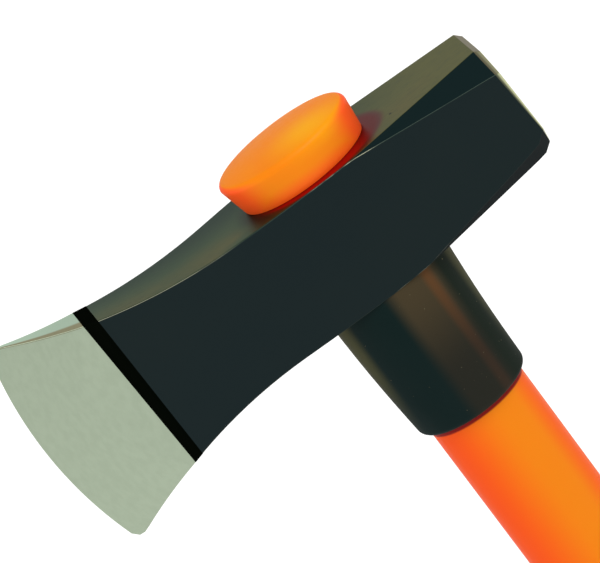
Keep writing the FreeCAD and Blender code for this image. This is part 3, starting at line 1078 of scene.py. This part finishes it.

# %% [markdown]
# ## The orange plastic
# Polypropylene is a little cloudy: light goes in, comes out again nearby, and leaves thin edges
# glowing redder than thick ones. A small share of subsurface light gives that. The pigment is not
# perfectly even either, and the surface has the faint waviness of a moulding. Below the head the
# two narrow sides are painted redder as painted shade, and a thin dark line of painted shadow runs
# where the shaft goes into the collar. On the crown, one patch of the dome is a painted highlight,
# and the foot and the two ends are painted redder as painted shade.

# %% Finish of the jacket
plastic = Finish("moulded_orange_plastic", Specular_IOR_Level=0.08, Subsurface_Weight=0.15,
                 Subsurface_Radius=(1.0, 0.25, 0.06), Subsurface_Scale=4.0 * MM)
swirl = plastic.noise(26.0, (1.0, 1.0, 0.35), 3.0)
scuffs = plastic.noise(700.0, (1.0, 1.0, 0.06), 2.0)
across, deep, height = plastic.axes()
looks = plastic.node("ShaderNodeNewGeometry").outputs["Normal"]
ends = plastic.math("ABSOLUTE", plastic.axes(looks)[0])
above = plastic.step(height, HEAD_HEIGHT - 1.0 * MM, HEAD_HEIGHT)
below = plastic.without(plastic.step(height, -5.0 * MM, 5.0 * MM))
orange = plastic.blend(plastic.step(swirl, 0.35, 0.65), tint(216, 117, 6), tint(218, 121, 5))
# Painted shade: below the head the two narrow sides are painted redder.
painted_shade_sides = plastic.either(plastic.step(across, 5.0 * MM, -17.0 * MM),
                        plastic.step(across, 10.0 * MM, 18.0 * MM, 0.0, 0.8))
orange = plastic.blend(plastic.both(below, painted_shade_sides), orange, tint(222, 74, 12))
# Painted highlight: one patch of the dome is painted paler.
HIGHLIGHT_CENTRE, HIGHLIGHT_HALVES = (9.0 * MM, -8.0 * MM), (22.0 * MM, 13.0 * MM)
highlight_gap = reach_from(plastic, across, deep, HIGHLIGHT_CENTRE, HIGHLIGHT_HALVES)
painted_highlight = plastic.both(plastic.step(highlight_gap, 1.0, 0.0), plastic.step(height, 56.0 * MM, 61.0 * MM))
orange = plastic.blend(painted_highlight, orange, tint(220, 148, 3))
# Painted shade: the crown's foot and its two ends are painted redder.
crown_painted_shade = plastic.step(height, HEAD_HEIGHT + 7.0 * MM, HEAD_HEIGHT + 0.5 * MM, 0.0, 0.75)
crown_painted_shade = plastic.both(above, plastic.either(crown_painted_shade, plastic.step(ends, 0.3, 0.75)))
orange = plastic.blend(crown_painted_shade, orange, tint(232, 82, 29))
# Painted shadow: a thin dark line where the shaft goes into the collar.
collar_painted_shadow = plastic.step(height, -COLLAR_LENGTH - 2.9 * MM, -COLLAR_LENGTH - 2.1 * MM)
orange = plastic.blend(plastic.both(collar_painted_shadow, below), orange, tint(120, 14, 8))
waviness = plastic.noise(60.0, (1, 1, 0.5), 2.0)
moulded = plastic.bump(waviness, 0.12 * MM, plastic.bump(scuffs, 0.01 * MM))
plastic.wear(orange, plastic.step(scuffs, 0.2, 0.8, 0.34, 0.46), None, moulded)
plastic.put_on(jacket)

# %% [markdown]
# ## The rubber
# The collar and the grip are the same black rubber, but the collar is smooth from its mould. It has
# a few small light specks. Its front carries a brown painted sheen, stronger towards the head, with
# one warmer painted reflection streak, and olive painted rim light shows where the rubber turns away.
# Steps across and along the collar place these, and a broad noise keeps them uneven.

# %% Finish of the collar
rubber = Finish("smooth_black_rubber", Specular_IOR_Level=0.08)
across, _, height = rubber.axes()
bloom_and_sheen = rubber.noise(35.0, (1.0, 1.0, 0.4), 4.0)
specks = rubber.noise(1100.0, (1, 1, 1), 1.0)
near_head = rubber.step(height, -40.0 * MM, -1.0 * MM)
black = rubber.blend(rubber.step(across, -8.0 * MM, 12.0 * MM), tint(3, 22, 21), tint(14, 24, 16))
# Painted sheen: a broad brown highlight across the collar's front.
painted_sheen = rubber.both(rubber.step(across, -7.0 * MM, -1.0 * MM), rubber.step(across, 17.0 * MM, 12.0 * MM),
                    rubber.step(bloom_and_sheen, 0.3, 0.6, 0.75, 1.0))
black = rubber.blend(painted_sheen, black, rubber.blend(near_head, tint(30, 29, 22), tint(58, 49, 32)))
# Painted reflection: one warmer streak along the collar.
painted_reflection_streak = rubber.both(rubber.step(rubber.away(across, 11.0 * MM), 3.2 * MM, 0.3 * MM),
                     rubber.step(bloom_and_sheen, 0.3, 0.6, 0.6, 1.0))
black = rubber.blend(painted_reflection_streak, black, rubber.blend(near_head, tint(46, 33, 22), tint(80, 53, 28)))
# Painted rim light: olive edges where the rubber turns away.
painted_rim_light = rubber.both(rubber.step(rubber.away(across), 19.5 * MM, 22.8 * MM),
                    rubber.step(height, -60.0 * MM, -15.0 * MM))
black = rubber.blend(painted_rim_light, black, tint(58, 58, 34))
black = rubber.blend(rubber.step(specks, 0.78, 0.80), black, tint(96, 92, 70))
rubber.wear(black, rubber.step(bloom_and_sheen, 0.3, 0.7, 0.6, 0.75), None,
            rubber.bump(rubber.noise(520.0, (1, 1, 1), 3.0), 0.04 * MM))
rubber.put_on(collar)

# %% [markdown]
# The grip is pebbled, so that a wet glove holds on it. Rounded cells stand for the pebbles: they
# lighten the black a little where they are worn, and lift the surface through a bump.

# %% Finish of the grip
grip_rubber = Finish("pebbled_black_rubber", Specular_IOR_Level=0.3)
pebbles = grip_rubber.node("ShaderNodeTexVoronoi", {"Vector": grip_rubber.place, "Scale": 620.0},
                           feature="SMOOTH_F1").outputs["Distance"]
dust = grip_rubber.noise(30.0, (1.0, 1.0, 0.6), 4.0)
black = grip_rubber.blend(grip_rubber.step(dust, 0.4, 0.7), tint(24, 29, 29), tint(40, 40, 37))
black = grip_rubber.blend(grip_rubber.step(pebbles, 0.5, 0.8), black, tint(56, 55, 50))
grip_rubber.wear(black, grip_rubber.step(dust, 0.3, 0.7, 0.6, 0.75), None,
                 grip_rubber.bump(pebbles, -0.25 * MM))
grip_rubber.put_on(grip)

# %% [markdown]
# ## The hidden pieces
# The core and the adhesive are only seen if the axe is taken apart, but they are finished as what
# they are: glass strands drawn lengthwise through clear resin, and an amber bead of epoxy.

# %% Finish of the core and the adhesive
glass = Finish("drawn_glass_fibre", Specular_IOR_Level=0.45)
strands = glass.noise(900.0, (1.0, 1.0, 0.01), 2.0)
glass.wear(glass.blend(glass.step(strands, 0.3, 0.7), tint(196, 190, 150), tint(226, 222, 190)),
           glass.step(strands, 0.3, 0.7, 0.4, 0.6), None, glass.bump(strands, 0.05 * MM))
resin = Finish("amber_epoxy", Specular_IOR_Level=0.5)
bubbles = resin.noise(800.0, (1, 1, 1), 3.0)
resin.wear(resin.blend(resin.step(bubbles, 0.4, 0.7), tint(150, 104, 40), tint(182, 136, 62)),
           resin.step(bubbles, 0.4, 0.7, 0.2, 0.35), None, resin.bump(bubbles, 0.05 * MM))
for finish, node in ((glass, "handle_core"), (resin, "eye_bond")):
    finish.put_on(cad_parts[node])

# %% [markdown]
# ## Stage, light and camera
# The axe stands on its butt on a plain pale floor that glows a little, as lit paper does, in even
# studio light: a bright surround, one large soft key lamp high in front on the poll side, and a
# weak fill lamp low on the blade side. More lamps would only add hard glints to the plastic.

# %% Floor and light
FLOOR_HALF = 30.0
floor_mesh = bpy.data.meshes.new("floor")
floor_mesh.from_pydata([(-FLOOR_HALF, -FLOOR_HALF, butt_z), (FLOOR_HALF, -FLOOR_HALF, butt_z),
                        (FLOOR_HALF, FLOOR_HALF, butt_z), (-FLOOR_HALF, FLOOR_HALF, butt_z)],
                       [], [(0, 1, 2, 3)])
floor = bpy.data.objects.new("floor", floor_mesh)
bpy.context.scene.collection.objects.link(floor)
paper = Finish("pale_floor", Roughness=0.9, Specular_IOR_Level=0.1, Emission_Color=(1.0, 1.0, 1.0, 1.0),
               Emission_Strength=0.25)
paper.wear(paper.blend(paper.noise(3.0), tint(248, 248, 247), tint(251, 251, 250)))
paper.put_on(floor)

world = bpy.data.worlds.new("studio")
bpy.context.scene.world = world
world.use_nodes = True
surround = world.node_tree.nodes["Background"]
surround.inputs["Color"].default_value = (1.0, 1.0, 1.0, 1.0)
surround.inputs["Strength"].default_value = 0.85


def soft_lamp(name, place, size, watts, aim):
    """A round lamp that faces the point aim."""
    lamp = bpy.data.lights.new(name, "AREA")
    lamp.shape, lamp.size, lamp.energy = "DISK", size, watts
    thing = bpy.data.objects.new(name, lamp)
    thing.location = place
    thing.rotation_mode = "QUATERNION"
    thing.rotation_quaternion = (Vector(aim) - Vector(place)).to_track_quat("-Z", "Y")
    bpy.context.scene.collection.objects.link(thing)


soft_lamp("key", (0.7, -1.2, 1.6), 1.0, 23.0, (0, 0, 0))
soft_lamp("fill", (-1.5, -0.5, 0.5), 1.2, 6.0, (0, 0, 0.05))
bpy.context.scene.view_settings.view_transform = "Standard"

# %% [markdown]
# The camera looks down on the head from in front with a long lens, and it is rolled, so that the
# handle runs across the frame and leaves it at one corner. Aiming with a constraint would lose the
# roll. Its three axes are worked out from three plain angles instead.

# %% The camera
TURN, TILT, ROLL = math.radians(-2.565), math.radians(25.0), math.radians(37.074)
DISTANCE = 1.8
AIM = Vector((-0.023784, 0.0, 0.016966))
right = Vector((math.cos(TURN), math.sin(TURN), 0.0))
back = Vector((math.sin(TURN) * math.cos(TILT), -math.cos(TURN) * math.cos(TILT), math.sin(TILT)))
up = back.cross(right)
camera = bpy.data.objects.new("camera", bpy.data.cameras.new("camera"))
bpy.context.scene.collection.objects.link(camera)
bpy.context.scene.camera = camera
camera.data.sensor_width = 36.0
camera.data.lens = 320.2
camera.data.clip_start, camera.data.clip_end = 0.1, 100.0
camera.location = AIM + DISTANCE * back
wide = math.cos(ROLL) * right - math.sin(ROLL) * up
tall = math.sin(ROLL) * right + math.cos(ROLL) * up
camera.rotation_mode = "QUATERNION"
camera.rotation_quaternion = Matrix((wide, tall, back)).transposed().to_quaternion()
print("camera at", [round(value, 3) for value in camera.location])

# %% [markdown]
